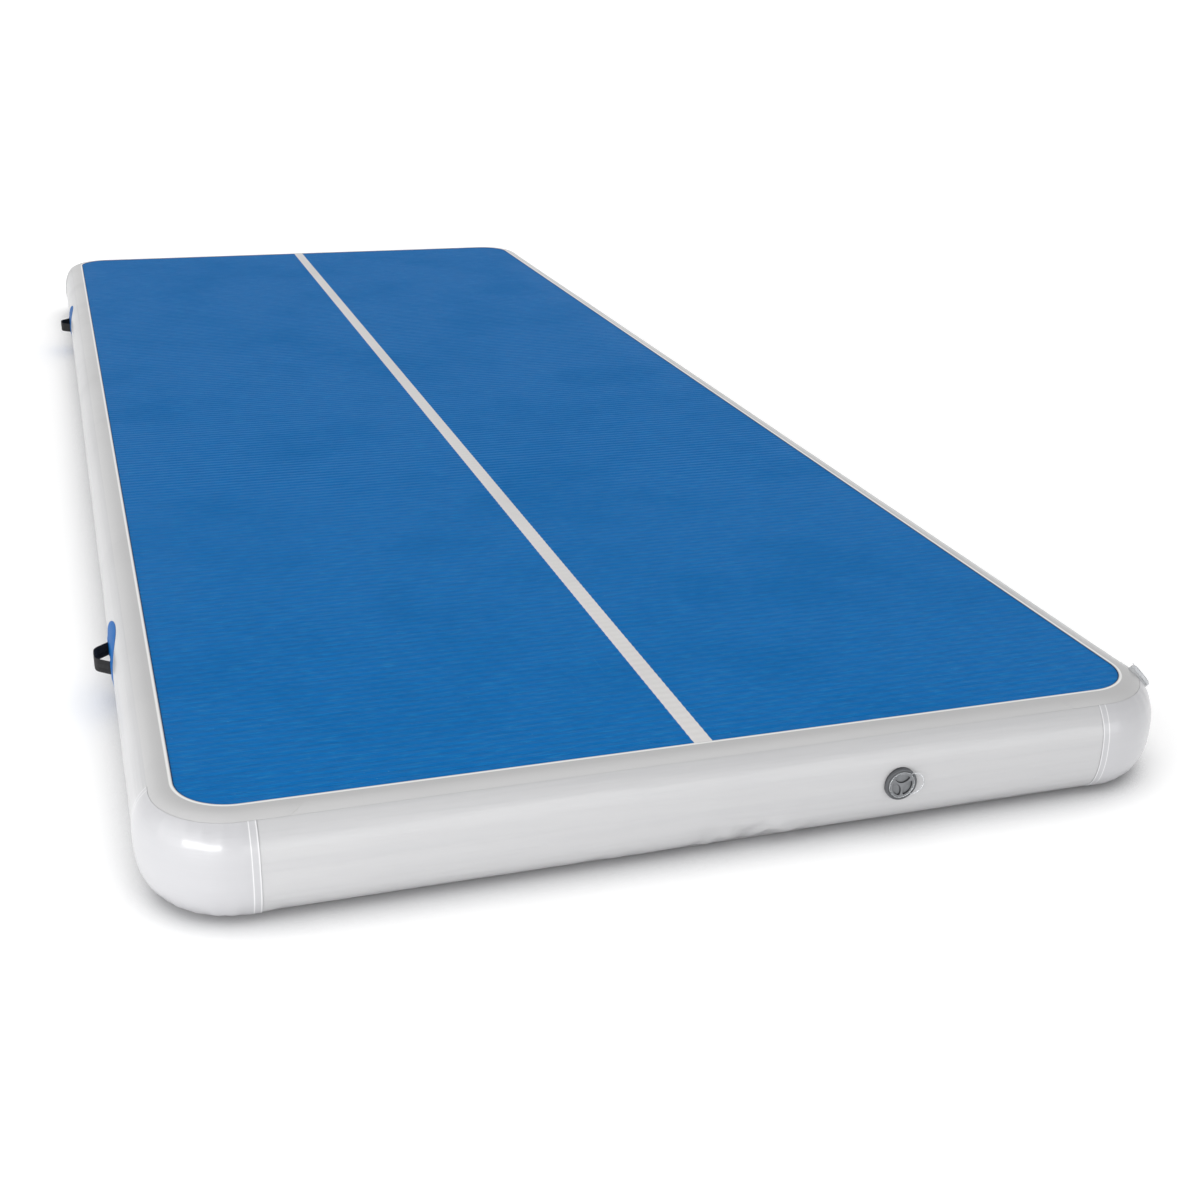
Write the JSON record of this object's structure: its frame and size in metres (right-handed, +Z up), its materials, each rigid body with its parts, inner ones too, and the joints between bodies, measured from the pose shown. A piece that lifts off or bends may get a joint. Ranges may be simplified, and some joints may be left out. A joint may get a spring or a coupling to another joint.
{
  "type": "air track mat",
  "caption": "Long inflatable drop-stitch tumbling mat with bulged side walls, a ribbed top sheet with a centre stripe, side carrying straps and screw-in air valves.",
  "frame": {"origin": "middle of the mat's underside, on the floor", "axes": "+Z up, +Y along the mat away from the inflation valve's wall, +X to the right seen from that wall"},
  "size_m": [2.069, 5.0105, 0.2038],
  "materials": {
    "wear_sheet": "fine transverse ribs, satin",
    "stripe": "satin",
    "wall_cloth": "semi-gloss coated cloth",
    "corner_skin": "gloss coated cloth",
    "seam_tape": "semi-gloss",
    "base_cloth": "coated base cloth",
    "drop_yarn": "polyester yarn",
    "strap_patch": "satin",
    "webbing": "woven webbing",
    "valve_plastic": "moulded, satin",
    "clear_tether": "clear flexible",
    "valve_rubber": "matte",
    "spring_steel": "drawn wire"
  },
  "bodies": {
    "mat": {"bottom_wear_sheet": "wear_sheet", "centre_stripe": "stripe", "drop_yarn_row_1": "drop_yarn", "drop_yarn_row_2": "drop_yarn", "drop_yarn_row_3": "drop_yarn", "drop_yarn_row_4": "drop_yarn", "front_end_bottom_tape": "seam_tape", "front_end_top_tape": "seam_tape", "front_end_wall": "wall_cloth", "front_left_corner_patch": "corner_skin", "front_left_corner_tape": "seam_tape", "front_left_corner_wall": "wall_cloth", "front_right_corner_patch": "corner_skin", "front_right_corner_tape": "seam_tape", "front_right_corner_wall": "wall_cloth", "inflation_valve_body": "valve_plastic", "inflation_valve_nut": "valve_plastic", "inflation_valve_saddle": "valve_rubber", "inflation_valve_spring": "spring_steel", "inflation_valve_tether_end": "clear_tether", "left_front_strap_patch": "strap_patch", "left_rear_strap_patch": "strap_patch", "left_side_bottom_tape": "seam_tape", "left_side_top_tape": "seam_tape", "left_side_wall": "wall_cloth", "lower_base_cloth": "base_cloth", "rear_end_bottom_tape": "seam_tape", "rear_end_top_tape": "seam_tape", "rear_end_wall": "wall_cloth", "rear_left_corner_patch": "corner_skin", "rear_left_corner_tape": "seam_tape", "rear_left_corner_wall": "wall_cloth", "rear_right_corner_patch": "corner_skin", "rear_right_corner_tape": "seam_tape", "rear_right_corner_wall": "wall_cloth", "relief_valve_body": "valve_plastic", "relief_valve_nut": "valve_plastic", "relief_valve_saddle": "valve_rubber", "relief_valve_spring": "spring_steel", "relief_valve_tether_end": "clear_tether", "right_front_strap_patch": "strap_patch", "right_rear_strap_patch": "strap_patch", "right_side_bottom_tape": "seam_tape", "right_side_top_tape": "seam_tape", "right_side_wall": "wall_cloth", "top_wear_sheet": "wear_sheet", "upper_base_cloth": "base_cloth"},
    "left_front_strap": {"left_front_strap": "webbing"},
    "left_rear_strap": {"left_rear_strap": "webbing"},
    "right_front_strap": {"right_front_strap": "webbing"},
    "right_rear_strap": {"right_rear_strap": "webbing"},
    "inflation_stem": {"inflation_valve_stem": "valve_plastic", "inflation_valve_diaphragm": "valve_rubber"},
    "inflation_button": {"inflation_valve_button": "valve_plastic"},
    "inflation_tether": {"inflation_valve_tether": "clear_tether"},
    "inflation_cap": {"inflation_valve_cap": "valve_plastic"},
    "relief_stem": {"relief_valve_stem": "valve_plastic", "relief_valve_diaphragm": "valve_rubber"},
    "relief_tether": {"relief_valve_tether": "clear_tether"},
    "relief_cap": {"relief_valve_cap": "valve_plastic"}
  },
  "joints": [
    {"name": "left_front_strap_swing", "type": "hinge", "parent": "mat", "child": "left_front_strap", "pos_m": [-1.0165, -1.555, 0.1006], "axis": [0, 1, 0], "range_deg": [-60, 60]},
    {"name": "left_rear_strap_swing", "type": "hinge", "parent": "mat", "child": "left_rear_strap", "pos_m": [-1.0165, 1.65, 0.1006], "axis": [0, 1, 0], "range_deg": [-60, 60]},
    {"name": "right_front_strap_swing", "type": "hinge", "parent": "mat", "child": "right_front_strap", "pos_m": [1.0165, -1.555, 0.1006], "axis": [0, -1, 0], "range_deg": [-60, 60]},
    {"name": "right_rear_strap_swing", "type": "hinge", "parent": "mat", "child": "right_rear_strap", "pos_m": [1.0165, 1.65, 0.1006], "axis": [0, -1, 0], "range_deg": [-60, 60]},
    {"name": "inflation_stem_push", "type": "slide", "parent": "mat", "child": "inflation_stem", "axis": [0, 1, 0], "range_m": [0, 0.006], "stiffness_N_per_m": 600, "springref_m": -0.004, "deforming": ["inflation_valve_spring"]},
    {"name": "inflation_button_turn", "type": "hinge", "parent": "inflation_stem", "child": "inflation_button", "pos_m": [0.368, -2.494, 0.1006], "axis": [0, -1, 0], "range_deg": [0, 90]},
    {"name": "inflation_tether_swing", "type": "hinge", "parent": "mat", "child": "inflation_tether", "pos_m": [0.4131, -2.5088, 0.1006], "axis": [0, 0, 1], "range_deg": [0, 160]},
    {"name": "inflation_cap_turn", "type": "hinge", "parent": "inflation_tether", "child": "inflation_cap", "pos_m": [0.368, -2.5088, 0.1006], "axis": [0, -1, 0], "range_deg": [0, 60]},
    {"name": "relief_stem_push", "type": "slide", "parent": "mat", "child": "relief_stem", "axis": [-0.7406, 0.171, -0.6499], "range_m": [0, 0.004], "stiffness_N_per_m": 500, "springref_m": -0.004, "deforming": ["relief_valve_spring"]},
    {"name": "relief_tether_swing", "type": "hinge", "parent": "mat", "child": "relief_tether", "pos_m": [0.98982, -2.32395, 0.18594], "axis": [-0.6332, 0.1462, 0.7601], "range_deg": [0, 120]},
    {"name": "relief_cap_turn", "type": "hinge", "parent": "relief_tether", "child": "relief_cap", "pos_m": [0.98125, -2.36107, 0.18594], "axis": [0.7406, -0.171, 0.6499], "range_deg": [0, 60]}
  ]
}
